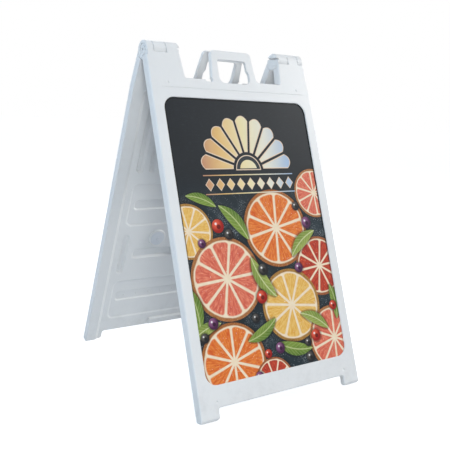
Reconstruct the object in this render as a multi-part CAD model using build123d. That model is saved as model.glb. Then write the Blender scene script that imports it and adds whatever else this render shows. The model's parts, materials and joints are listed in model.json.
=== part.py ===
from build123d import *
import math
import os

# A folding sandwich board: two identical blow-moulded panels hinged at their shoulders, each holding a
# sign board behind its lips. Millimetres. The origin is on the ground, midway between the four feet.
#
# Panel coordinates, seen from outside a panel: u runs right from its middle, v runs down from the hinge
# axis and n runs out from the plane of the hinge axis towards the outer face.

# Panel
side_rim = 12.5
board_head = 138.6
board_foot = 82.4
panel_thickness = 29.0
wall = 2.3
fold_gap = 0.6
open_half_angle = 20.2
edge_round = 4.0
inner_edge_round = 2.0

# Hinge shoulders
shoulder_inner_u = 198.0
shoulder_inner_foot_u = 190.0
shoulder_taper = 5.5
shoulder_taper_length = 106.0
shoulder_top_v = 14.0
shoulder_corner_round = 2.0
hinge_inset = 5.5
hinge_inset_length = 26.0
outer_knuckle_width = 23.0
middle_knuckle_width = 43.0
inner_knuckle_width = 52.0
knuckle_gap = 1.0
knuckle_clearance = 0.9
knuckle_end_bevel = 1.5
knuckle_nose_round = 9.0
nose_slot_height = 5.5
nose_slot_depth = 13.0
nose_slot_above_pin = 11.0
nose_overhang = 7.5

# Hinge pins
pin_radius = 4.0
pin_clearance = 0.05
pin_recess = 5.0
pin_end_wall = 5.0
pin_end_chamfer = 0.6
pin_ring_inner_radius = 13.0
pin_ring_outer_radius = 19.0
pin_ring_depth = 2.5
pin_ring_angle = 230.0

# Carrying handle and the valleys beside it
valley_v = 92.0
valley_round = 6.0
handle_top_v = -10.0
handle_top_half_width = 80.0
handle_foot_half_width = 91.0
handle_corner_round = 16.0
handle_foot_round = 14.0
handle_thickness = 13.0
grip_height = 32.0
opening_half_width = 61.0
opening_bottom_v = 101.0
opening_top_round = 9.0
opening_bottom_round = 20.0
opening_draft = 11.0
handle_notch_width = 28.0
handle_notch_depth = 8.0
handle_notch_round = 6.0
thumb_ridge_v = 52.0
thumb_ridge_height = 7.0
thumb_ridge_slope = 12.0
thumb_ridge_round = 9.0

# Feet
foot_height = 35.0
foot_width = 65.5
foot_corner_round = 5.0
foot_inner_chamfer = 7.0
foot_crotch_round = 8.0
foot_toe_chamfer = 8.0
sole_width = 14.0

# Sign board and the slot that holds it behind the lips
board_width = 610.0
board_height = 914.0
board_thickness = 4.0
board_corner_round = 3.0
board_play = 1.0
board_thickness_play = 0.3
print_margin = 2.0
print_thickness = 0.3
side_lip = 23.0
end_lip = 18.0
lip_thickness = 3.5
window_round = 38.0
lip_bevel = 1.5

# Inner face: the sunken field between the side rails, with two panels sunk deeper into it
rail_width = 37.0
field_depth = 10.0
field_top_v = 118.0
field_round = 28.0
field_draft = 55.0
panel_sink = 3.5
panel_draft = 60.0
sunk_panel_margin = 73.0
sunk_panel_round = 28.0
upper_panel_start_share = 0.36
upper_panel_share = 0.188
lower_panel_share = 0.19
lower_panel_foot_margin = 88.0

# Tack-off slots, where the inner wall is pushed down to meet the outer wall
slot_draft = 42.0
slot_round = 14.0
flute_width = 29.0
flute_count = 5
flute_inner_u = 41.0
flute_head_margin = 22.0
flute_foot_margin = 41.0
flute_side_margin = 15.0
side_slot_margin = 34.0
upper_slot_offset = 67.0
upper_slot_height = 40.0
upper_slot_side_margin = 22.0
upper_slot_inner_u = 31.0
middle_slot_offset = 98.0
middle_slot_height = 42.0
middle_slot_side_margin = 38.0
middle_slot_inner_u = 21.0
lower_slot_offset = 51.0
lower_slot_height = 42.0
lower_slot_side_margin = 19.0
tack_dot_radius = 3.5
tack_dot_height = 1.6
tack_dot_draft = 35.0
tack_dot_count = 8
tack_dot_side_margin = 40.0

# Carry bar low on the inner face
bar_u = -30.0
bar_length = 184.0
bar_foot_margin = 51.5
bar_height = 30.0
bar_rise = 9.0
bar_bevel = 5.0

# Ballast filler and its cap
filler_u = 102.0
filler_offset = 55.0
filler_boss_radius = 34.0
filler_boss_rise = 5.2
filler_boss_bevel = 3.0
filler_bore_radius = 19.0
cap_flange_radius = 27.5
cap_flange_thickness = 1.6
cap_dome_height = 1.6
cap_knob_radius = 7.0
cap_knob_rise = 1.4
cap_stem_length = 8.0
cap_wall = 2.0
cap_clearance = 0.1
cap_slot_width = 3.0
cap_slot_depth = 1.2

# Small marks on the outer face
dimple_u = 257.0
dimple_top_v = 111.0
dimple_foot_margin = 53.0
dimple_radius = 5.0
dimple_depth = 1.6
crease_v = 125.0
crease_width = 2.5
crease_depth = 0.5

# Worked out from the values above
panel_width = board_width + 2 * side_rim
panel_length = board_head + board_height + board_foot
half_width = panel_width / 2
inner_n = fold_gap / 2
outer_n = inner_n + panel_thickness
knuckle_radius = outer_n
field_n = inner_n + field_depth
sunk_n = field_n + panel_sink
handle_n = outer_n - handle_thickness
lip_n = outer_n - lip_thickness
board_face_n = lip_n - print_thickness - board_thickness_play
floor_n = board_face_n - board_thickness
tack_n = floor_n - wall
knuckle_outer_u = half_width - hinge_inset
outer_knuckle_u = knuckle_outer_u - outer_knuckle_width
middle_knuckle_outer_u = outer_knuckle_u - knuckle_gap
middle_knuckle_inner_u = middle_knuckle_outer_u - middle_knuckle_width
inner_knuckle_outer_u = middle_knuckle_inner_u - knuckle_gap
inner_knuckle_inner_u = inner_knuckle_outer_u - inner_knuckle_width
pin_inner_u = inner_knuckle_inner_u + nose_overhang + pin_end_wall
foot_inner_u = half_width - foot_width
crotch_v = panel_length - foot_height
board_half_width = board_width / 2
window_half_width = board_half_width - side_lip
board_top_v = board_head
board_bottom_v = board_top_v + board_height
window_top_v = board_top_v + end_lip
window_bottom_v = board_bottom_v - end_lip
field_half_width = half_width - rail_width
sunk_panel_half_width = half_width - sunk_panel_margin
upper_panel_v = board_top_v + upper_panel_start_share * board_height
upper_panel_bottom_v = upper_panel_v + upper_panel_share * board_height
lower_panel_bottom_v = panel_length - lower_panel_foot_margin
lower_panel_v = lower_panel_bottom_v - lower_panel_share * board_height
flute_outer_u = sunk_panel_half_width - flute_side_margin
flute_pitch = (flute_outer_u - flute_inner_u) / (flute_count - 1)
bar_v = panel_length - bar_foot_margin
filler_v = upper_panel_bottom_v + filler_offset
grip_bottom_v = handle_top_v + grip_height
boss_n = field_n - filler_boss_rise
lean = math.radians(open_half_angle)
hinge_height = panel_length * math.cos(lean) - (inner_n + sole_width) * math.sin(lean)
past = 60.0


def block(u0, u1, v0, v1, n0, n1):
    """A box given by its ranges in panel coordinates."""
    return Pos((u0 + u1) / 2, -(n0 + n1) / 2, -(v0 + v1) / 2) * Box(u1 - u0, n1 - n0, v1 - v0)


def slab(sketch, n0, n1):
    """A flat outline, drawn in u and minus v, as a plate from n0 to n1."""
    return extrude(Plane.XZ.offset(n0) * sketch, n1 - n0)


def rounded(u0, u1, v0, v1, radius):
    """A rectangle in u and v with round corners."""
    reach = min(radius, 0.49 * (u1 - u0), 0.49 * (v1 - v0))
    return Pos((u0 + u1) / 2, -(v0 + v1) / 2) * RectangleRounded(u1 - u0, v1 - v0, reach)


def both_sides(shape):
    """The shape and its mirror image across the panel's middle."""
    return shape + mirror(shape, about=Plane.YZ)


def round_corner(sketch, u, v, radius):
    """Rounds the outline's corner that lies at the given point."""
    return fillet(sketch.vertices().sort_by_distance((u, -v, 0))[0], radius)


def round_corners(sketch, point, radius):
    """Rounds the outline's corner at the given point, on both sides of the middle."""
    return round_corner(round_corner(sketch, *point, radius), -point[0], point[1], radius)


def panel_outline():
    """The panel's face: shoulders, valleys, handle, and the two feet at the bottom."""
    tapered_u = half_width - shoulder_taper
    right = [
        (handle_top_half_width, handle_top_v),
        (handle_foot_half_width, valley_v),
        (shoulder_inner_foot_u, valley_v),
        (shoulder_inner_u, shoulder_top_v),
        (tapered_u, shoulder_top_v),
        (half_width, shoulder_top_v + shoulder_taper_length),
        (half_width, panel_length),
        (foot_inner_u + foot_inner_chamfer, panel_length),
        (foot_inner_u, panel_length - foot_inner_chamfer),
        (foot_inner_u, crotch_v),
    ]
    left = [(-half_width if u == tapered_u else -u, v) for u, v in reversed(right)]
    points = [(u, -v) for u, v in right + left]
    outline = make_face(Polyline(points, close=True))
    outline = round_corners(outline, right[0], handle_corner_round)
    outline = round_corners(outline, right[1], handle_foot_round)
    outline = round_corners(outline, right[2], valley_round)
    outline = round_corners(outline, right[3], shoulder_corner_round)
    outline = round_corners(outline, right[6], foot_corner_round)
    outline = round_corners(outline, right[9], foot_crotch_round)
    return outline


def handle_opening():
    """The hand hole, a little wider on the inner side, and narrower beside its thumb ridge on the right."""
    reach = opening_half_width
    ridge_u = reach - thumb_ridge_height
    ridge_foot_v = thumb_ridge_v + thumb_ridge_slope
    corners = [
        (-reach, grip_bottom_v, opening_top_round),
        (ridge_u, grip_bottom_v, opening_top_round),
        (ridge_u, thumb_ridge_v, thumb_ridge_round),
        (reach, ridge_foot_v, thumb_ridge_round),
        (reach, opening_bottom_v, opening_bottom_round),
        (-reach, opening_bottom_v, opening_bottom_round),
    ]
    hole = make_face(Polyline([(u, -v) for u, v, _ in corners], close=True))
    for corner in corners:
        hole = round_corner(hole, *corner)
    straight = slab(hole, handle_n, outer_n + past)
    return straight + extrude(Plane.XZ.offset(outer_n) * hole, -handle_thickness, taper=-opening_draft)


def handle_notch():
    """The small notch in the valley's floor, at the outer foot of the handle's left leg."""
    u1 = -handle_foot_half_width + handle_notch_round / 2
    v0 = valley_v - handle_notch_depth
    face = rounded(u1 - handle_notch_width, u1, v0, valley_v + handle_notch_depth, handle_notch_round)
    return slab(face, -past, outer_n + past)


def knuckle(u0, u1, nose_at_u0=False):
    """One hinge knuckle, a barrel on the hinge axis with bevelled ends, or a round nose at its inner end."""
    barrel = Pos((u0 + u1) / 2, 0, 0) * Rot(0, 90, 0) * Cylinder(knuckle_radius, u1 - u0)
    ends = barrel.edges().filter_by(GeomType.CIRCLE).sort_by(Axis.X)
    barrel = chamfer(ends[-1], knuckle_end_bevel)
    ends = barrel.edges().filter_by(GeomType.CIRCLE).sort_by(Axis.X)
    return fillet(ends[0], knuckle_nose_round) if nose_at_u0 else chamfer(ends[0], knuckle_end_bevel)


def neck(u0, u1):
    """The web that joins a knuckle to its own panel, flush with both faces."""
    root_v = shoulder_top_v + edge_round + knuckle_end_bevel
    return block(u0 + knuckle_end_bevel, u1 - knuckle_end_bevel, 0, root_v, inner_n, outer_n)


def knuckle_notch(u0, u1):
    """The room that a shoulder leaves for a knuckle of the other panel."""
    radius = knuckle_radius + knuckle_clearance
    return Pos((u0 + u1) / 2, 0, 0) * Rot(0, 90, 0) * Cylinder(radius, u1 - u0)


def own_knuckles():
    """The knuckles of this panel: one on its right shoulder, two on its left one."""
    middle = knuckle(middle_knuckle_inner_u, middle_knuckle_outer_u)
    middle += neck(middle_knuckle_inner_u, middle_knuckle_outer_u)
    outer = mirror(knuckle(outer_knuckle_u, knuckle_outer_u), about=Plane.YZ)
    outer += neck(-knuckle_outer_u, -outer_knuckle_u)
    inner = mirror(knuckle(inner_knuckle_inner_u, inner_knuckle_outer_u, True), about=Plane.YZ)
    inner += neck(-inner_knuckle_outer_u, -inner_knuckle_inner_u - knuckle_nose_round)
    return middle + outer + inner


def other_knuckles():
    """The notches for the other panel's knuckles, which lie the other way round."""
    left = knuckle_notch(-outer_knuckle_u, -inner_knuckle_outer_u)
    right = knuckle_notch(middle_knuckle_outer_u, half_width + past)
    return left + right + knuckle_notch(handle_foot_half_width, middle_knuckle_inner_u)


def nose_slot():
    """The slot through the end of the inner knuckle, level when the board stands open, and the air under it."""
    u = -inner_knuckle_inner_u
    run = nose_slot_depth - nose_slot_height / 2
    flat = Pos(u - run / 2 + past / 2, 0, 0) * Box(run + past, 2 * past, nose_slot_height)
    end = Pos(u - run, 0, 0) * Rot(90, 0, 0) * Cylinder(nose_slot_height / 2, 2 * past)
    drop = nose_slot_above_pin + shoulder_top_v
    under = Pos(u - nose_overhang + past / 2, 0, -drop / 2) * Box(past, 2 * past, drop)
    return Rot(open_half_angle, 0, 0) * Pos(0, 0, nose_slot_above_pin) * (flat + end + under)


def pin_bore():
    """The hinge pin's hole through one shoulder, open outwards and blind at its inner end."""
    length = half_width + past - pin_inner_u
    bore = Pos(pin_inner_u + length / 2, 0, 0) * Rot(0, 90, 0) * Cylinder(pin_radius + pin_clearance, length)
    return both_sides(bore)


def pin_ring():
    """The C-shaped recess round the pin hole, on the outer knuckle's end."""
    ring = Circle(pin_ring_outer_radius) - Circle(pin_ring_inner_radius)
    gap_half = math.radians((360 - pin_ring_angle) / 2)
    reach = 2 * pin_ring_outer_radius
    corner = (reach * math.sin(gap_half), -reach * math.cos(gap_half))
    gap = make_face(Polyline((0, 0), corner, (-corner[0], corner[1]), close=True))
    arc = Plane.YZ.offset(-knuckle_outer_u) * (ring - gap)
    return extrude(arc, pin_ring_depth)


def board_slot():
    """The slot that takes the sign board, under the lips on all four sides."""
    reach_u = board_half_width + board_play
    reach_v = board_top_v - 2 * board_play
    return block(-reach_u, reach_u, reach_v, board_bottom_v, floor_n, lip_n)


def board_window():
    """The window between the lips, with a small bevel round its edge."""
    face = rounded(-window_half_width, window_half_width, window_top_v, window_bottom_v, window_round)
    window = slab(face, lip_n - board_thickness, outer_n)
    bevel = extrude(Plane.XZ.offset(outer_n - lip_bevel) * face, lip_bevel, taper=-45)
    return window + bevel


def tack_slots():
    """Each tack-off slot of the inner face as its edges in u and v, then the depth it starts from."""
    flute_v0 = board_top_v + flute_head_margin
    flute_v1 = upper_panel_v - flute_foot_margin
    half_flute = flute_width / 2
    slots = []
    for i in range(flute_count):
        u = flute_inner_u + i * flute_pitch
        slots.append((u - half_flute, u + half_flute, flute_v0, flute_v1, field_n))
    side_v0 = upper_panel_bottom_v + side_slot_margin
    side_v1 = lower_panel_v - side_slot_margin
    slots.append((flute_outer_u - half_flute, flute_outer_u + half_flute, side_v0, side_v1, field_n))
    upper_v = upper_panel_v + upper_slot_offset
    upper_outer_u = sunk_panel_half_width - upper_slot_side_margin
    slots.append((upper_slot_inner_u, upper_outer_u, upper_v, upper_v + upper_slot_height, sunk_n))
    middle_v = upper_panel_bottom_v + middle_slot_offset
    middle_outer_u = flute_outer_u - middle_slot_side_margin
    slots.append((middle_slot_inner_u, middle_outer_u, middle_v, middle_v + middle_slot_height, field_n))
    return slots + [(-u1, -u0, v0, v1, n0) for u0, u1, v0, v1, n0 in slots] + [lower_slot()]


def lower_slot():
    """The widest tack-off slot, right across the lower sunk panel."""
    reach = sunk_panel_half_width - lower_slot_side_margin
    v = lower_panel_v + lower_slot_offset
    return (-reach, reach, v, v + lower_slot_height, sunk_n)


def pressed(face, n0, depth, draft):
    """A hollow pressed into the inner face, its walls leaning in by the draft angle."""
    return extrude(Plane.XZ.offset(n0) * face, depth, taper=draft)


def pressed_slots():
    """The air in the tack-off slots, down to the wall behind the sign board."""
    air = Part()
    for u0, u1, v0, v1, n0 in tack_slots():
        air += pressed(rounded(u0, u1, v0, v1, slot_round), n0, tack_n - n0, slot_draft)
    return air


def tack_dots():
    """The row of small raised marks on the floor of the lowest slot."""
    u0, u1, v0, v1, _ = lower_slot()
    reach = (u1 - u0) / 2 - tack_dot_side_margin
    dots = Part()
    for i in range(tack_dot_count):
        u = reach * (2 * i / (tack_dot_count - 1) - 1)
        face = Pos(u, -(v0 + v1) / 2) * RegularPolygon(tack_dot_radius, 6)
        dots += extrude(Plane.XZ.offset(tack_n) * face, -tack_dot_height, taper=tack_dot_draft)
    return dots


def sunk_panels():
    """The two deeper panels of the inner face, as their upper and lower edges."""
    return ((upper_panel_v, upper_panel_bottom_v), (lower_panel_v, lower_panel_bottom_v))


def pressed_field():
    """The air over the sunken field, over its two deeper panels and behind the handle."""
    lead = inner_edge_round
    reach = field_half_width + lead * math.tan(math.radians(field_draft))
    face = rounded(-reach, reach, field_top_v, panel_length + past, field_round)
    field = pressed(face, inner_n - lead, field_depth + lead, field_draft)
    field += block(-shoulder_inner_foot_u, shoulder_inner_foot_u, -past, valley_v, -past, field_n)
    field += block(-handle_foot_half_width, handle_foot_half_width, -past, opening_bottom_v, -past, handle_n)
    for v0, v1 in sunk_panels():
        face = rounded(-sunk_panel_half_width, sunk_panel_half_width, v0, v1, sunk_panel_round)
        field += pressed(face, field_n, panel_sink, panel_draft)
    return field


def inner_wall():
    """The room that the inner wall takes up: plain blocks, one wall thicker than what is pressed in."""
    reach = field_half_width + wall
    back_n = field_n + wall
    room = block(-reach, reach, field_top_v - wall, panel_length + past, -past, back_n)
    reach = shoulder_inner_foot_u - wall
    room += block(-reach, reach, -past, valley_v, -past, back_n)
    reach = sunk_panel_half_width + wall
    for v0, v1 in sunk_panels():
        room += block(-reach, reach, v0 - wall, v1 + wall, inner_n, sunk_n + wall)
    for u0, u1, v0, v1, _ in tack_slots():
        room += block(u0 - wall, u1 + wall, v0 - wall, v1 + wall, inner_n, tack_n)
    return room


def hollow():
    """The air inside the moulding, one wall inside every face."""
    shell_top_v = valley_v + wall
    side = half_width - shoulder_taper - wall
    inside = block(-side, side, opening_bottom_v + wall, crotch_v - wall, inner_n + wall, outer_n - wall)
    shoulder_top = shoulder_top_v + hinge_inset_length
    shoulder_inner = shoulder_inner_u + 2 * wall
    shoulder = block(shoulder_inner, side, shoulder_top, shell_top_v + past, inner_n + wall, outer_n - wall)
    foot_inner = foot_inner_u + foot_inner_chamfer + wall
    foot_bottom = panel_length - foot_toe_chamfer - wall
    foot = block(foot_inner, side, crotch_v - 2 * wall, foot_bottom, inner_n + wall, outer_n - wall)
    inside += both_sides(shoulder + foot)
    inside -= inner_wall()
    top_v = board_top_v - 2 * board_play - wall
    reach = board_half_width + board_play + wall
    inside -= block(-reach, reach, top_v, board_bottom_v + wall, tack_n, outer_n)
    return inside


def filler_boss():
    """The raised ring on the inner face round the ballast filler."""
    boss = Cylinder(filler_boss_radius, filler_boss_rise + wall)
    rim = boss.edges().filter_by(GeomType.CIRCLE).sort_by(Axis.Z)[-1]
    boss = chamfer(rim, filler_boss_bevel)
    middle = boss_n + (filler_boss_rise + wall) / 2
    return Pos(filler_u, -middle, -filler_v) * Rot(-90, 0, 0) * boss


def filler_bore():
    """The filler's hole, from the boss through the inner wall into the hollow."""
    depth = tack_n - inner_n
    middle = inner_n + depth / 2
    return Pos(filler_u, -middle, -filler_v) * Rot(90, 0, 0) * Cylinder(filler_bore_radius, depth)


def carry_bar():
    """The raised bar low on the inner face."""
    v0 = bar_v - bar_height / 2
    face = rounded(bar_u - bar_length / 2, bar_u + bar_length / 2, v0, v0 + bar_height, bar_height / 3)
    bar = slab(face, field_n - bar_rise, field_n + wall)
    rim = bar.edges().group_by(Axis.Y)[-1]
    return chamfer(rim, bar_bevel)


def dimples():
    """The four round dents at the corners of the outer face, which mark where a bolt may be drilled."""
    radius = (dimple_radius**2 + dimple_depth**2) / (2 * dimple_depth)
    dents = Part()
    for v in (dimple_top_v, panel_length - dimple_foot_margin):
        dents += Pos(dimple_u, -(outer_n - dimple_depth + radius), -v) * Sphere(radius)
    return both_sides(dents)


def toe_chamfer():
    """The bevel along the outer bottom edge of the feet."""
    profile = Polyline(
        (-outer_n - 1, -panel_length + foot_toe_chamfer + 1),
        (-outer_n - 1, -panel_length - 1),
        (-outer_n + foot_toe_chamfer + 1, -panel_length - 1),
        close=True,
    )
    wedge = extrude(Plane.YZ.offset(-half_width - 1) * make_face(profile), 2 * half_width + 2)
    return wedge


def lean_out(shape):
    """Leans the front panel's shape back to its place in the open board."""
    return Pos(0, 0, hinge_height) * Rot(-open_half_angle, 0, 0) * shape


def to_rear(shape):
    """Turns a front piece half a turn about the vertical, to its place on the rear panel."""
    return Rot(0, 0, 180) * shape


def panel():
    """One moulded panel, leaning as the front one does."""
    body = slab(panel_outline(), inner_n, outer_n)
    body = fillet(body.edges().group_by(Axis.Y)[0], edge_round)
    body -= handle_opening()
    body -= handle_notch()
    body -= pressed_field()
    body -= both_sides(block(knuckle_outer_u, half_width + past, 0, hinge_inset_length, -past, outer_n + past))
    body -= other_knuckles()
    body += own_knuckles()
    body -= nose_slot()
    body -= pin_bore()
    body -= pin_ring()
    body -= toe_chamfer()
    body -= block(-window_half_width, window_half_width, crease_v, crease_v + crease_width,
                  outer_n - crease_depth, outer_n + past)
    body -= dimples()
    body -= pressed_slots()
    body += tack_dots()
    body += carry_bar()
    body += filler_boss()
    body -= hollow()
    body -= filler_bore()
    body -= board_slot()
    body -= board_window()
    body = lean_out(body)
    return body - Pos(0, 0, -past / 2) * Box(2 * panel_width, 2 * panel_length, past)


def sign_board():
    """The fluted plastic board, standing on the slot's lower edge and lying on its floor."""
    face = rounded(-board_half_width, board_half_width, board_top_v, board_bottom_v, board_corner_round)
    return lean_out(slab(face, floor_n, board_face_n))


def sign_print():
    """The printed sheet on the board's face, with a bare margin round it."""
    reach = board_half_width - print_margin
    face = rounded(-reach, reach, board_top_v + print_margin, board_bottom_v - print_margin, board_corner_round)
    return lean_out(slab(face, board_face_n, board_face_n + print_thickness))


def hinge_pin():
    """The pin through the left shoulder's knuckles, its outer end set back in the hole."""
    outer_end = -knuckle_outer_u + pin_recess
    inner_end = -pin_inner_u
    pin = Rot(0, 90, 0) * Cylinder(pin_radius, inner_end - outer_end)
    pin = chamfer(pin.edges().filter_by(GeomType.CIRCLE), pin_end_chamfer)
    return Pos((outer_end + inner_end) / 2, 0, hinge_height) * pin


def filler_cap():
    """The push-in cap of the filler, a flange with a low dome and a hollow stem."""
    dome_top = cap_flange_thickness + cap_dome_height
    stem_radius = filler_bore_radius - cap_clearance
    dome = ThreePointArc(
        (0, dome_top),
        (cap_flange_radius / 2, dome_top - cap_dome_height / 4),
        (cap_flange_radius, cap_flange_thickness),
    )
    rest = Polyline(
        (cap_flange_radius, cap_flange_thickness),
        (cap_flange_radius, 0),
        (stem_radius, 0),
        (stem_radius, -cap_stem_length),
        (stem_radius - cap_wall, -cap_stem_length),
        (stem_radius - cap_wall, 0),
        (0, 0),
        (0, dome_top),
    )
    cap = revolve(Plane.XZ * make_face(dome + rest), Axis.Z)
    knob = Cone(cap_knob_radius, cap_knob_radius - cap_knob_rise, 2 * cap_knob_rise)
    cap += Pos(0, 0, dome_top) * knob
    cap -= Pos(0, 0, dome_top + cap_knob_rise) * Box(2 * cap_knob_radius, cap_slot_width, 2 * cap_slot_depth)
    return lean_out(Pos(filler_u, -boss_n, -filler_v) * Rot(-90, 0, 0) * cap)


def main():
    os.makedirs("parts", exist_ok=True)
    front = {
        "front_panel": panel(),
        "front_sign_board": sign_board(),
        "front_sign_print": sign_print(),
        "left_hinge_pin": hinge_pin(),
        "front_filler_cap": filler_cap(),
    }
    rear_names = ("rear_panel", "rear_sign_board", "rear_sign_print", "right_hinge_pin", "rear_filler_cap")
    for shape, (name, rear_name) in zip(front.values(), zip(front, rear_names)):
        export_step(shape, f"parts/{name}.step")
        export_step(to_rear(shape), f"parts/{rear_name}.step")


main()
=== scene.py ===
import json
import math

import bpy
from mathutils import Matrix, Vector

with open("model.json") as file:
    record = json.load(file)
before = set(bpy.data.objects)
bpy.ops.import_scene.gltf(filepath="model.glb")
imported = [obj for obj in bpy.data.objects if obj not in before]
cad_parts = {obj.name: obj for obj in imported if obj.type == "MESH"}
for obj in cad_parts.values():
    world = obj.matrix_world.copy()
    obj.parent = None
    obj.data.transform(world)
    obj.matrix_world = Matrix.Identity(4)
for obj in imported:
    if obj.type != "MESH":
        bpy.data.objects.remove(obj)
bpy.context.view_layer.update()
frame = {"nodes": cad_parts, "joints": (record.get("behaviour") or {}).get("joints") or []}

fold = frame["joints"][0]
HINGE_Z = fold["pos_m"][2]
LEAN = math.radians((fold["range_deg"][1] - fold["range_deg"][0]) / 2)

# what the frame doesn't give, in metres
INNER_FACE_DEPTH = 0.0003                              # from the hinge's plane
SIDE_LIP, END_LIP, WINDOW_ROUND = 0.023, 0.018, 0.038  # the lips' reach over the board, and their corners
BOARD_FLUTE_PITCH = 0.005
CAP_RING_ANGLE = 5200.0                                # of the rings' sine, for each metre of radius


def panel_box(node):
    """A front node's lowest and highest corners in panel coordinates, which Tree.panel_place explains."""
    turn = Matrix.Rotation(LEAN, 3, "X")
    hinge = Vector((0, 0, HINGE_Z))
    points = [turn @ (vertex.co - hinge) for vertex in frame["nodes"][node].data.vertices]
    return [Vector(pick(axis) for axis in zip(*points)) for pick in (min, max)]


# the parting line runs half way between a panel's two faces, and the window ends at the lips over the board
PANEL_LOW = panel_box("front_panel")[0]
PARTING_LINE = (PANEL_LOW.y - INNER_FACE_DEPTH) / 2
DIRT_TOP, DIRT_FULL = PANEL_LOW.z + 0.205, PANEL_LOW.z - 0.015
FILLER_MIDDLE = sum(panel_box("front_filler_cap"), Vector()) / 2
BOARD_LOW, BOARD_HIGH = panel_box("front_sign_board")
BOARD_MIDDLE = (BOARD_LOW + BOARD_HIGH) / 2
WINDOW_HALF_WIDTH = BOARD_HIGH.x - SIDE_LIP
WINDOW_HALF_HEIGHT = (BOARD_HIGH.z - BOARD_LOW.z) / 2 - END_LIP


# ---------------------------------------------------------------- node helpers

class Tree:
    """Short names for the shader nodes that the materials below are built from."""

    def __init__(self, tree):
        self.tree = tree

    def node(self, kind, **settings):
        made = self.tree.nodes.new(kind)
        for name, value in settings.items():
            setattr(made, name, value)
        return made

    def put(self, socket, value):
        if value is None:
            return
        if isinstance(value, bpy.types.NodeSocket):
            self.tree.links.new(value, socket)
        elif isinstance(value, tuple) and len(value) == 3 and socket.type == "RGBA":
            socket.default_value = (*value, 1.0)
        else:
            socket.default_value = value

    def math(self, operation, a, b=None):
        made = self.node("ShaderNodeMath", operation=operation)
        for socket, value in zip(made.inputs, (a, b)):
            self.put(socket, value)
        return made.outputs[0]

    def add(self, a, b):
        return self.math("ADD", a, b)

    def sub(self, a, b):
        return self.math("SUBTRACT", a, b)

    def mul(self, a, b):
        return self.math("MULTIPLY", a, b)

    def max(self, a, b):
        return self.math("MAXIMUM", a, b)

    def abs(self, a):
        return self.math("ABSOLUTE", a)

    def step(self, value, start, end):
        """0 up to start, 1 from end on, smooth between; start may be the larger one."""
        made = self.node("ShaderNodeMapRange", interpolation_type="SMOOTHSTEP")
        flip = start > end
        low, high = (end, start) if flip else (start, end)
        first, last = (1.0, 0.0) if flip else (0.0, 1.0)
        for socket, item in zip(made.inputs, (value, low, high, first, last)):
            self.put(socket, item)
        return made.outputs[0]

    def mix(self, factor, a, b):
        """One colour or the other, by the factor; the next two do the same for vectors and numbers."""
        made = self.node("ShaderNodeMix", data_type="RGBA")
        self.put(made.inputs["Factor"], factor)
        self.put(made.inputs[6], a)
        self.put(made.inputs[7], b)
        return made.outputs[2]

    def blend(self, factor, a, b):
        made = self.node("ShaderNodeMix", data_type="VECTOR")
        for socket, value in zip((made.inputs[0], made.inputs[4], made.inputs[5]), (factor, a, b)):
            self.put(socket, value)
        return made.outputs[1]

    def number(self, factor, a, b):
        made = self.node("ShaderNodeMix", data_type="FLOAT")
        for socket, value in zip((made.inputs[0], made.inputs[2], made.inputs[3]), (factor, a, b)):
            self.put(socket, value)
        return made.outputs[0]

    def measure(self, operation, a, b=None):
        """A number worked out from one or two vectors, such as LENGTH or DOT_PRODUCT."""
        made = self.node("ShaderNodeVectorMath", operation=operation)
        self.put(made.inputs[0], a)
        self.put(made.inputs[1], b)
        return made.outputs["Value"]

    def split(self, vector):
        made = self.node("ShaderNodeSeparateXYZ")
        self.put(made.inputs[0], vector)
        return made.outputs[0], made.outputs[1], made.outputs[2]

    def join(self, x, y, z=0.0):
        made = self.node("ShaderNodeCombineXYZ")
        for socket, value in zip(made.inputs, (x, y, z)):
            self.put(socket, value)
        return made.outputs[0]

    def mapping(self, vector, location=(0, 0, 0), rotation=(0, 0, 0), scale=(1, 1, 1), kind="POINT"):
        made = self.node("ShaderNodeMapping", vector_type=kind)
        self.put(made.inputs["Vector"], vector)
        made.inputs["Location"].default_value = location
        made.inputs["Rotation"].default_value = rotation
        made.inputs["Scale"].default_value = scale
        return made.outputs[0]

    def noise(self, vector, scale, detail=3.0, roughness=0.55):
        made = self.node("ShaderNodeTexNoise")
        self.put(made.inputs["Vector"], vector)
        made.inputs["Scale"].default_value = scale
        made.inputs["Detail"].default_value = detail
        made.inputs["Roughness"].default_value = roughness
        return made.outputs["Fac"]

    def voronoi(self, vector, scale):
        """The distance from the nearest of many scattered points."""
        made = self.node("ShaderNodeTexVoronoi")
        self.put(made.inputs["Vector"], vector)
        made.inputs["Scale"].default_value = scale
        return made.outputs["Distance"]

    def ramp(self, value, stops):
        made = self.node("ShaderNodeValToRGB")
        self.put(made.inputs[0], value)
        elements = made.color_ramp.elements
        while len(elements) < len(stops):
            elements.new(0.5)
        for element, (place, colour) in zip(elements, stops):
            element.position = place
            element.color = (*colour, 1.0)
        return made.outputs[0]

    def bump(self, height, strength, distance, normal=None):
        made = self.node("ShaderNodeBump")
        made.inputs["Strength"].default_value = strength
        made.inputs["Distance"].default_value = distance
        self.put(made.inputs["Height"], height)
        self.put(made.inputs["Normal"], normal)
        return made.outputs[0]

    def place(self):
        """Where a point lies in the row frame at rest, whatever the pose."""
        return self.node("ShaderNodeTexCoord").outputs["Object"]

    def panel_place(self, side):
        """Panel coordinates, the same on both panels: x across from the middle, y from the hinge's plane,
        minus towards the outer face, and z up from the hinge's axis along the panel."""
        turn = (-LEAN, 0, math.pi) if side == "rear" else (LEAN, 0, 0)
        shift = (0, HINGE_Z * math.sin(LEAN), -HINGE_Z * math.cos(LEAN))
        return self.mapping(self.place(), shift, turn)


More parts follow.
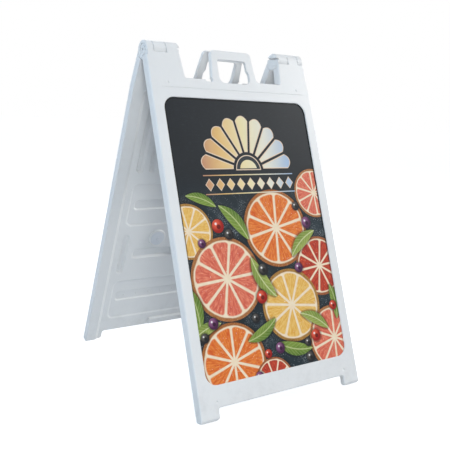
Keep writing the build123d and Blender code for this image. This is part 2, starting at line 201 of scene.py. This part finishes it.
def material(name, build, **settings):
    """A material with a Principled shader; build returns the sockets that vary over the surface, and the
    settings are those that don't, with _ for a space."""
    made = bpy.data.materials.new(name)
    made.use_nodes = True
    tree = Tree(made.node_tree)
    shader = made.node_tree.nodes["Principled BSDF"]
    for socket, value in settings.items():
        tree.put(shader.inputs[socket.replace("_", " ")], value)
    for socket, value in build(tree).items():
        tree.put(shader.inputs[socket], value)
    return made


# ---------------------------------------------------------------- moulded plastic

def moulded(side):
    """White blow-moulded plastic: slight waves, a fine satin grain, a parting line and scuffed edges."""

    def build(t):
        place = t.panel_place(side)
        _, out, up = t.split(place)
        cloud = t.noise(place, 5.0, 4.0, 0.6)
        patch = t.noise(place, 38.0, 3.0, 0.6)
        grain = t.noise(place, 1300.0, 2.0, 0.5)
        pits = t.voronoi(place, 420.0)
        colour = t.mix(cloud, (0.745, 0.748, 0.750), (0.785, 0.786, 0.785))
        colour = t.mix(t.mul(t.step(patch, 0.52, 0.75), 0.25), colour, (0.71, 0.718, 0.725))

        soft = t.node("ShaderNodeBevel", samples=4)
        soft.inputs["Radius"].default_value = 0.0022
        true = t.node("ShaderNodeNewGeometry").outputs["True Normal"]
        edge = t.step(t.measure("DOT_PRODUCT", soft.outputs[0], true), 0.985, 0.90)
        scuff = t.mul(edge, t.step(t.noise(place, 60.0, 5.0, 0.7), 0.42, 0.66))
        colour = t.mix(t.mul(scuff, 0.35), colour, (0.86, 0.875, 0.89))

        near_foot = t.step(up, DIRT_TOP, DIRT_FULL)
        dirt = t.mul(near_foot, t.step(t.noise(place, 24.0, 6.0, 0.7), 0.40, 0.74))
        colour = t.mix(t.mul(dirt, 0.30), colour, (0.50, 0.50, 0.49))

        edge_wall = t.step(t.abs(t.split(true)[0]), 0.80, 0.95)
        seam = t.step(t.abs(t.sub(out, PARTING_LINE)), 0.0011, 0.0003)
        seam = t.mul(seam, edge_wall)
        colour = t.mix(t.mul(seam, 0.25), colour, (0.60, 0.63, 0.68))

        rough = t.add(t.mul(cloud, 0.10), t.add(t.mul(patch, 0.08), 0.33))
        rough = t.add(rough, t.add(t.mul(scuff, 0.12), t.mul(dirt, 0.2)))
        waves = t.noise(place, 9.0, 2.0, 0.5)
        normal = t.bump(waves, 0.35, 0.0016, soft.outputs[0])
        normal = t.bump(seam, 0.45, 0.0006, normal)
        normal = t.bump(t.add(grain, t.mul(pits, 0.6)), 0.10, 0.0004, normal)
        return {"Base Color": colour, "Roughness": rough, "Normal": normal}

    return material(
        f"{side}_moulding", build, IOR=1.50,
        Subsurface_Weight=0.12, Subsurface_Radius=(1.0, 0.9, 0.8), Subsurface_Scale=0.004,
    )


def cap_plastic(side):
    """The filler cap: the same plastic, a touch greyer, turned in fine rings."""

    def build(t):
        place = t.panel_place(side)
        across, _, up = t.split(place)
        from_middle = t.join(t.sub(across, FILLER_MIDDLE.x), t.sub(up, FILLER_MIDDLE.z))
        radius = t.measure("LENGTH", from_middle)
        rings = t.math("SINE", t.mul(radius, CAP_RING_ANGLE))
        cloud = t.noise(place, 60.0, 3.0)
        colour = t.mix(cloud, (0.66, 0.69, 0.735), (0.72, 0.745, 0.785))
        normal = t.bump(t.mul(rings, 0.5), 0.20, 0.0003)
        normal = t.bump(t.noise(place, 1500.0, 2.0), 0.12, 0.0003, normal)
        return {"Base Color": colour, "Roughness": t.add(t.mul(cloud, 0.1), 0.36), "Normal": normal}

    return material(f"{side}_cap", build, IOR=1.50)


def fluted_sheet(side):
    """The sign board's own plastic, with its flutes showing faintly through the skin."""

    def build(t):
        place = t.panel_place(side)
        across, _, _ = t.split(place)
        flutes = t.math("SINE", t.mul(across, 2 * math.pi / BOARD_FLUTE_PITCH))
        cloud = t.noise(place, 30.0, 3.0)
        colour = t.mix(t.add(t.mul(flutes, 0.25), 0.5), (0.70, 0.71, 0.72), (0.80, 0.81, 0.82))
        colour = t.mix(t.mul(cloud, 0.3), colour, (0.74, 0.75, 0.77))
        normal = t.bump(flutes, 0.25, 0.0004)
        return {"Base Color": colour, "Roughness": t.add(t.mul(cloud, 0.12), 0.34), "Normal": normal}

    return material(f"{side}_board", build, IOR=1.49)


def pin_steel(t):
    """Zinc-plated rod, drawn along its length and turned on its end."""
    place = t.place()
    streaks = t.noise(t.mapping(place, scale=(6.0, 900.0, 900.0)), 1.0, 3.0)
    spots = t.noise(place, 300.0, 4.0, 0.7)
    colour = t.mix(streaks, (0.46, 0.47, 0.49), (0.62, 0.63, 0.65))
    colour = t.mix(t.mul(t.step(spots, 0.58, 0.75), 0.4), colour, (0.33, 0.31, 0.30))
    normal = t.bump(streaks, 0.25, 0.0002)
    return {"Base Color": colour, "Roughness": t.add(t.mul(spots, 0.2), 0.24), "Normal": normal}


# ---------------------------------------------------------------- the printed sheet

SEGMENTS = 10    # in a fruit slice
RAYS = 9         # in the fan's half circle
ABOVE_ZERO = 20  # added before FRACT, which has to stay clear of negative numbers


def off_middle(t, count):
    """How far a point is from the middle of its cell: 0 there, and 1 at the edges, where count is whole."""
    cell = t.math("FRACT", t.add(count, ABOVE_ZERO))
    return t.mul(t.abs(t.sub(cell, 0.5)), 2.0)


def slice_art(t, vector, rind, flesh, deep):
    """A round fruit slice of radius 1: rind, pith, and segments with their pulp."""
    x, y, seed = t.split(vector)
    radius = t.measure("LENGTH", t.join(x, y))
    edge = t.add(radius, t.mul(t.sub(t.noise(vector, 2.2, 2.0), 0.5), 0.06))
    angle = t.mul(t.math("ARCTAN2", y, x), SEGMENTS / (2 * math.pi))
    off = off_middle(t, angle)
    gap = t.math("DIVIDE", 0.10, t.max(radius, 0.12))
    segment = t.step(t.sub(off, t.sub(1.0, gap)), 0.06, -0.10)
    cheek = t.sub(0.885, t.mul(t.math("POWER", off, 6.0), 0.10))
    segment = t.mul(segment, t.step(t.sub(edge, cheek), 0.012, -0.030))
    segment = t.mul(segment, t.step(radius, 0.08, 0.13))
    polar = t.join(t.mul(angle, 9.0), t.mul(radius, 5.0), seed)
    tone = t.add(t.mul(t.noise(polar, 1.6, 4.0, 0.65), 0.75), t.mul(t.voronoi(polar, 1.1), 0.45))
    inner = t.mix(t.step(tone, 0.35, 0.85), flesh, deep)
    inner = t.mix(t.mul(t.step(tone, 0.38, 0.22), 0.65), inner, (0.86, 0.66, 0.47))
    pith = t.mix(t.noise(vector, 9.0, 4.0), (0.80, 0.60, 0.38), (0.90, 0.80, 0.64))
    colour = t.mix(segment, pith, inner)
    crust = t.mix(t.noise(vector, 14.0, 5.0, 0.7), rind, (0.16, 0.05, 0.02))
    crust = t.mix(t.mul(t.step(t.noise(vector, 30.0, 3.0), 0.55, 0.70), 0.5), crust, (0.80, 0.52, 0.25))
    colour = t.mix(t.step(edge, 0.90, 0.935), colour, crust)
    glint = t.mul(t.step(t.noise(vector, 26.0, 2.0), 0.66, 0.74), segment)
    return t.mix(t.mul(glint, 0.7), colour, (0.95, 0.88, 0.78))


def slice_cover(t, local):
    """How far a slice and its soft shadow cover a point; the covers below say the same of their motifs."""
    radius = t.measure("LENGTH", local)
    return t.step(radius, 1.006, 0.994), t.step(radius, 1.20, 0.96)


def leaf_half(t, x):
    """Half the leaf's width at x."""
    reach = t.max(t.sub(1.0, t.mul(x, x)), 0.0)
    return t.mul(t.math("POWER", reach, 0.85), 0.30)


def leaf_side(t, x, y):
    """The distance from the leaf's curved rib."""
    return t.abs(t.sub(y, t.mul(t.mul(x, x), 0.16)))


def leaf_art(t, vector, light, dark, rib):
    """A pointed leaf from -1 to 1 with a rib and side veins."""
    x, y, _ = t.split(vector)
    side = leaf_side(t, x, y)
    veins = t.step(off_middle(t, t.mul(t.sub(x, t.mul(side, 1.4)), 4.5)), 0.18, 0.04)
    colour = t.mix(t.add(t.noise(vector, 3.5, 4.0), t.mul(y, 1.1)), dark, light)
    colour = t.mix(t.mul(veins, 0.55), colour, rib)
    return t.mix(t.step(side, 0.035, 0.014), colour, rib)


def leaf_cover(t, local):
    x, y, _ = t.split(local)
    out = t.sub(leaf_side(t, x, y), leaf_half(t, x))
    along = t.step(t.abs(x), 1.02, 0.98)
    return t.mul(t.step(out, 0.008, -0.012), along), t.mul(t.step(out, 0.16, -0.02), along)


def berry_art(t, vector, light, dark, core):
    """A round berry of radius 1 with a soft highlight and a dimple."""
    x, y, _ = t.split(vector)
    lit = t.measure("LENGTH", t.join(t.add(x, 0.30), t.sub(y, 0.34)))
    colour = t.mix(t.step(lit, 0.15, 1.15), light, dark)
    dimple = t.measure("LENGTH", t.join(t.sub(x, 0.12), t.add(y, 0.10)))
    colour = t.mix(t.mul(t.step(dimple, 0.40, 0.28), 0.9), colour, core)
    return t.mix(t.mul(t.step(lit, 0.26, 0.08), 0.9), colour, (0.92, 0.90, 0.88))


def berry_cover(t, local):
    radius = t.measure("LENGTH", local)
    return t.step(radius, 1.02, 0.96), t.step(radius, 1.45, 0.90)


# the three colours of each kind of motif
SLICE_COLOURS = (
    ((0.50, 0.17, 0.04), (0.80, 0.25, 0.05), (0.62, 0.10, 0.02)),
    ((0.42, 0.12, 0.04), (0.60, 0.08, 0.03), (0.30, 0.02, 0.02)),
    ((0.55, 0.22, 0.07), (0.78, 0.24, 0.14), (0.58, 0.09, 0.06)),
    ((0.55, 0.30, 0.06), (0.82, 0.55, 0.17), (0.70, 0.35, 0.06)),
)
ORANGE, BLOOD, ROSE, LEMON = range(4)
LEAF_COLOURS = (
    ((0.24, 0.34, 0.06), (0.06, 0.13, 0.02), (0.46, 0.52, 0.22)),
    ((0.36, 0.42, 0.10), (0.12, 0.20, 0.03), (0.56, 0.60, 0.30)),
)
FRESH, PALE = range(2)
BERRY_COLOURS = (
    ((0.10, 0.09, 0.08), (0.010, 0.010, 0.012), (0.004, 0.004, 0.005)),
    ((0.26, 0.10, 0.22), (0.055, 0.012, 0.050), (0.02, 0.004, 0.02)),
    ((0.72, 0.10, 0.05), (0.30, 0.012, 0.010), (0.10, 0.004, 0.004)),
)
OLIVE, PLUM, CHERRY = range(3)

# across, up, size and turn of each motif, in metres and degrees from the sheet's middle
SLICES = (
    (0.262, 0.120, 0.085, 20, ROSE), (-0.262, 0.020, 0.085, 65, LEMON),
    (0.072, 0.010, 0.128, 12, ORANGE), (-0.150, -0.135, 0.130, 40, ROSE),
    (0.232, -0.130, 0.100, 5, BLOOD), (0.085, -0.245, 0.118, 28, LEMON),
    (-0.170, -0.385, 0.118, 16, ORANGE), (0.245, -0.375, 0.108, 50, ROSE),
    (-0.030, -0.470, 0.075, 33, BLOOD),
)
LEAVES = (
    (-0.085, 0.045, 0.075, 130, FRESH), (0.170, -0.040, 0.070, 215, PALE),
    (-0.275, -0.210, 0.070, 100, FRESH), (-0.020, -0.150, 0.078, 300, PALE),
    (-0.045, -0.315, 0.066, 25, FRESH), (0.175, -0.300, 0.064, 150, PALE),
    (0.070, -0.385, 0.072, 345, FRESH), (-0.255, -0.275, 0.058, 200, PALE),
    (-0.200, 0.118, 0.056, 160, FRESH), (0.275, -0.255, 0.060, 95, FRESH),
)
BERRIES = (
    (-0.155, 0.030, 0.022, 0, CHERRY), (-0.118, 0.001, 0.017, 0, OLIVE),
    (0.205, 0.020, 0.020, 0, PLUM), (0.170, 0.078, 0.015, 0, OLIVE),
    (-0.008, -0.120, 0.019, 0, OLIVE), (-0.030, -0.205, 0.021, 0, CHERRY),
    (0.140, -0.128, 0.017, 0, PLUM), (-0.225, -0.262, 0.018, 0, PLUM),
    (-0.066, -0.268, 0.015, 0, OLIVE), (0.165, -0.355, 0.020, 0, CHERRY),
    (0.128, -0.372, 0.014, 0, OLIVE), (0.010, -0.372, 0.018, 0, PLUM),
    (-0.262, -0.300, 0.015, 0, OLIVE), (0.262, -0.268, 0.016, 0, CHERRY),
    (-0.040, -0.382, 0.014, 0, CHERRY), (-0.222, -0.020, 0.014, 0, PLUM),
    (0.128, -0.420, 0.017, 0, OLIVE), (-0.086, -0.445, 0.016, 0, PLUM),
)


def pick(t, index, colours):
    """The colour with that index in a short list."""
    chosen = colours[0]
    for number, colour in enumerate(colours[1:], 1):
        chosen = t.mix(t.math("GREATER_THAN", index, number - 0.5), chosen, colour)
    return chosen


def add_motifs(t, base, plane, places, cover, art, colours):
    """Lays a layer of motifs of one kind, with their soft shadows, over the colour below."""
    nowhere = (9.0, 9.0, 9.0)
    local, kind, shade, mask = nowhere, 0.0, 0.0, 0.0
    for across, up, size, turn, colour in places:
        mine = t.mapping(plane, (across, up, 0), (0, 0, math.radians(turn)), (size, size, 1), "TEXTURE")
        covered, shaded = cover(t, mine)
        chosen = t.math("GREATER_THAN", covered, 0.02)
        local = t.blend(chosen, local, mine)
        kind = t.number(chosen, kind, float(colour))
        shade = t.mul(t.max(shade, shaded), t.sub(1.0, covered))
        mask = t.max(mask, covered)
    x, y, _ = t.split(local)
    seed = t.add(t.mul(kind, 3.7), 1.3)
    flesh = art(t, t.join(x, y, seed), *(pick(t, kind, row) for row in zip(*colours)))
    base = t.mix(t.mul(shade, 0.75), base, (0.006, 0.007, 0.008))
    return t.mix(mask, base, flesh)


# the ornament's heights above the sheet's middle, and its sizes, in metres
FAN_FOOT, FAN_RADIUS, FAN_INNER_RADIUS = 0.205, 0.182, 0.060
RAY_HALF_GAP, RAY_ROUND, RAY_OUTLINE = 0.0042, 0.022, 0.0029
HUB_RADIUS, CORE_RADIUS, CORE_FOOT = 0.050, 0.034, 0.006
LOZENGE_HEIGHT, LOZENGE_PITCH, LOZENGE_REACH, LOZENGE_OUTLINE = 0.160, 0.040, 0.0205, 0.0033
ROW_HALF_WIDTH = 0.180
RULE_HEIGHTS, RULE_HALF_WIDTH = (0.190, 0.130), 0.0016
RIM_HALF_WIDTH = 0.0007
RIM_COLOUR = (0.80, 0.62, 0.47)


def inked(t, base, shape, edge, colour):
    """The colour laid where shape is below the edge, and fading out across it."""
    return t.mix(t.step(shape, edge + RIM_HALF_WIDTH, edge - RIM_HALF_WIDTH), base, colour)


def fan_ornament(t, base, x, y):
    """A fan of rounded rays over a row of lozenges, its colour running from copper to pale blue."""
    sheen = t.ramp(
        t.add(t.math("DIVIDE", x, 2 * ROW_HALF_WIDTH), 0.5),
        ((0.0, (0.46, 0.15, 0.07)), (0.22, (0.72, 0.42, 0.11)), (0.48, (0.80, 0.68, 0.36)),
         (0.72, (0.74, 0.72, 0.62)), (1.0, (0.26, 0.42, 0.68))),
    )
    cloud = t.noise(t.join(x, y), 16.0, 4.0)
    sheen = t.mix(t.mul(cloud, 0.35), sheen, (0.88, 0.80, 0.62))
    from_y = t.sub(y, FAN_FOOT)
    below = t.mul(from_y, -1.0)
    radius = t.measure("LENGTH", t.join(x, from_y))
    off = off_middle(t, t.mul(t.math("ARCTAN2", from_y, x), RAYS / math.pi))
    half_ray = math.pi / 2 / RAYS
    beside = t.mul(t.mul(off, radius), half_ray)
    room = t.sub(t.mul(radius, half_ray), RAY_HALF_GAP)
    dome = t.sub(FAN_RADIUS, t.mul(t.mul(off, off), RAY_ROUND))
    ends = t.max(t.sub(radius, dome), t.sub(FAN_INNER_RADIUS, radius))
    ray = t.max(t.max(t.sub(beside, room), ends), below)
    base = inked(t, base, ray, 0.0, RIM_COLOUR)
    base = inked(t, base, ray, -RAY_OUTLINE, sheen)

    hub = t.max(t.sub(radius, HUB_RADIUS), below)
    base = inked(t, base, hub, 0.0, RIM_COLOUR)
    base = inked(t, base, hub, -RAY_OUTLINE, (0.030, 0.036, 0.042))
    core = t.max(t.sub(radius, CORE_RADIUS), t.sub(CORE_FOOT, from_y))
    base = inked(t, base, core, 0.0, sheen)

    cell = t.math("FRACT", t.add(t.math("DIVIDE", x, LOZENGE_PITCH), ABOVE_ZERO + 0.5))
    beside = t.mul(t.abs(t.sub(cell, 0.5)), LOZENGE_PITCH)
    lozenge = t.add(t.mul(beside, 1.25), t.abs(t.sub(y, LOZENGE_HEIGHT)))
    past_row = t.sub(t.abs(x), ROW_HALF_WIDTH)
    lozenge = t.max(t.sub(lozenge, LOZENGE_REACH), past_row)
    base = inked(t, base, lozenge, 0.0, RIM_COLOUR)
    base = inked(t, base, lozenge, -LOZENGE_OUTLINE, sheen)
    for height in RULE_HEIGHTS:
        rule = t.sub(t.abs(t.sub(y, height)), RULE_HALF_WIDTH)
        base = inked(t, base, t.max(rule, past_row), 0.0, sheen)
    return base


EDGE_START, EDGE_FULL = 0.0062, 0.0044  # the painted shade's band under the lips, measured in from the window's edge


def lip_shade_band(t, x, y):
    """1 in a narrow band of painted shade along the window's edge, where the lips overhang the print, 0
    inside it.
    """
    over_x = t.max(t.sub(t.abs(x), WINDOW_HALF_WIDTH - WINDOW_ROUND), 0.0)
    over_y = t.max(t.sub(t.abs(y), WINDOW_HALF_HEIGHT - WINDOW_ROUND), 0.0)
    reach = t.measure("LENGTH", t.join(over_x, over_y))
    return t.step(reach, WINDOW_ROUND - EDGE_START, WINDOW_ROUND - EDGE_FULL)


def printed_sheet(side):
    """The printed film: a dark slate ground, a fan ornament, and fruit slices with leaves and berries."""

    def build(t):
        place = t.panel_place(side)
        across, _, up = t.split(place)
        y = t.sub(up, BOARD_MIDDLE.z)
        plane = t.join(across, y)
        haze = t.noise(plane, 7.0, 5.0, 0.65)
        streak = t.noise(t.mapping(plane, scale=(1.0, 3.0, 1.0)), 60.0, 4.0, 0.7)
        base = t.mix(haze, (0.007, 0.009, 0.012), (0.015, 0.019, 0.024))
        slate = t.mix(haze, (0.006, 0.013, 0.018), (0.016, 0.031, 0.041))
        base = t.mix(t.step(y, 0.22, 0.02), base, slate)
        base = t.mix(t.mul(t.step(streak, 0.5, 0.9), 0.4), base, (0.034, 0.047, 0.056))
        table = t.mul(t.step(y, 0.16, 0.05), t.step(haze, 0.24, 0.52))
        dust = t.step(t.voronoi(plane, 210.0), 0.30, 0.14)
        dust = t.mul(dust, t.mul(table, t.step(t.noise(plane, 26.0, 3.0), 0.44, 0.60)))
        fine = t.step(t.noise(plane, 520.0, 2.0), 0.56, 0.66)
        fine = t.mul(fine, t.mul(table, t.step(t.noise(plane, 12.0, 3.0), 0.42, 0.60)))
        base = t.mix(t.mul(t.max(dust, fine), 0.85), base, (0.52, 0.57, 0.61))
        base = add_motifs(t, base, plane, SLICES, slice_cover, slice_art, SLICE_COLOURS)
        base = add_motifs(t, base, plane, LEAVES, leaf_cover, leaf_art, LEAF_COLOURS)
        base = add_motifs(t, base, plane, BERRIES, berry_cover, berry_art, BERRY_COLOURS)
        base = fan_ornament(t, base, across, y)
        # painted shade under the lips: a dark band on the print at the window's edge, fading out towards
        # the bottom
        lip_shade = t.mul(lip_shade_band(t, across, y), t.step(y, -0.30, 0.10))
        base = t.mix(t.mul(lip_shade, 0.9), base, (0.003, 0.004, 0.005))
        scratch = t.noise(t.mapping(plane, scale=(1.0, 12.0, 1.0)), 90.0, 4.0, 0.7)
        rough = t.add(t.mul(scratch, 0.12), 0.46)
        normal = t.bump(t.noise(plane, 14.0, 2.0), 0.10, 0.0010)
        return {"Base Color": base, "Roughness": rough, "Normal": normal}

    return material(f"{side}_print", build, IOR=1.46, Specular_IOR_Level=0.2)


# ---------------------------------------------------------------- dressing the nodes

def dress(node, made):
    """Gives a CAD node its material."""
    mesh = frame["nodes"][node].data
    mesh.materials.clear()
    mesh.materials.append(made)


steel = material("pin_zinc", pin_steel, Metallic=1.0)
for side in ("front", "rear"):
    dress(f"{side}_panel", moulded(side))
    dress(f"{side}_filler_cap", cap_plastic(side))
    dress(f"{side}_sign_board", fluted_sheet(side))
    dress(f"{side}_sign_print", printed_sheet(side))
for side in ("left", "right"):
    dress(f"{side}_hinge_pin", steel)


# ---------------------------------------------------------------- floor, light and camera

FLOOR_GLOW = 0.77      # what the camera sees added to the floor's own light
WORLD_STRENGTH = 0.33  # what falls on the object; the camera sees 1


def seen_or_mirrored(t):
    """1 for what the camera sees directly or in a reflection, 0 for light that falls on the object."""
    rays = t.node("ShaderNodeLightPath")
    return t.max(rays.outputs["Is Camera Ray"], rays.outputs["Is Glossy Ray"])


def pale_floor(t):
    """A pale floor that the camera sees as nearly white."""
    return {"Emission Strength": t.mul(seen_or_mirrored(t), FLOOR_GLOW)}


def floor():
    """The floor, wide enough to reach the horizon from every side."""
    mesh = bpy.data.meshes.new("floor")
    reach = 30.0
    corners = [(-reach, -reach, 0), (reach, -reach, 0), (reach, reach, 0), (-reach, reach, 0)]
    mesh.from_pydata(corners, [], [(0, 1, 2, 3)])
    mesh.materials.append(material(
        "pale_floor", pale_floor,
        Base_Color=(0.58, 0.61, 0.64), Emission_Color=(1.0, 1.0, 1.0), Roughness=0.9,
    ))
    made = bpy.data.objects.new("floor", mesh)
    bpy.context.scene.collection.objects.link(made)


def backdrop_world():
    """A white backdrop to the camera, and a dimmer and cooler sky to the object."""
    world = bpy.data.worlds.new("studio")
    bpy.context.scene.world = world
    world.use_nodes = True
    t = Tree(world.node_tree)
    background = world.node_tree.nodes["Background"]
    seen = seen_or_mirrored(t)
    t.put(background.inputs["Color"], t.mix(seen, (0.84, 0.90, 1.0), (1.0, 1.0, 1.0)))
    strength = t.add(t.mul(seen, 1.0 - WORLD_STRENGTH), WORLD_STRENGTH)
    t.put(background.inputs["Strength"], strength)


def lamp(name, place, target, size, power, colour=(1.0, 1.0, 1.0)):
    """A round soft lamp at a place, turned to its target; metres and watts."""
    data = bpy.data.lights.new(name, "AREA")
    data.shape = "DISK"
    data.size = size
    data.energy = power
    data.color = colour
    made = bpy.data.objects.new(name, data)
    made.location = place
    made.rotation_euler = (Vector(target) - Vector(place)).to_track_quat("-Z", "Y").to_euler()
    bpy.context.scene.collection.objects.link(made)


def camera():
    """A camera where the photograph's was; its place is measured from the middle of the hinge's axis."""
    place = Vector((-1.32722, -1.90551, HINGE_Z - 0.16018))
    yaw, pitch, roll = math.radians(35.99), math.radians(10.67), math.radians(2.745)
    ahead = Vector((math.sin(yaw) * math.cos(pitch), math.cos(yaw) * math.cos(pitch), -math.sin(pitch)))
    right = Vector((math.cos(yaw), -math.sin(yaw), 0))
    up = right.cross(ahead)
    right, up = right * math.cos(roll) + up * math.sin(roll), up * math.cos(roll) - right * math.sin(roll)
    turn = Matrix((right, up, -ahead)).transposed().to_4x4()
    data = bpy.data.cameras.new("camera")
    data.sensor_width = 36.0
    data.lens = 54.18
    data.shift_x = -0.0138
    data.shift_y = 0.0217
    made = bpy.data.objects.new("camera", data)
    made.matrix_world = Matrix.Translation(place) @ turn
    bpy.context.scene.collection.objects.link(made)
    bpy.context.scene.camera = made


floor()
backdrop_world()
middle, upper = (0, 0, 0.5), (0, 0, 0.9)
lamp("key_lamp", (4.3, -1.6, 3.2), middle, size=1.0, power=138, colour=(1.0, 0.99, 0.96))
lamp("top_lamp", (0.2, -0.4, 4.2), middle, size=3.0, power=12)
lamp("front_lamp", (-1.5, -3.2, 0.7), upper, size=1.0, power=37, colour=(0.97, 1.0, 0.99))
lamp("fill_lamp", (-3.0, -0.2, 2.5), upper, size=1.6, power=46, colour=(0.62, 0.82, 1.0))
lamp("back_lamp", (0.6, 3.6, 2.6), middle, size=2.4, power=40)
camera()

scene = bpy.context.scene
scene.view_settings.view_transform = "Standard"
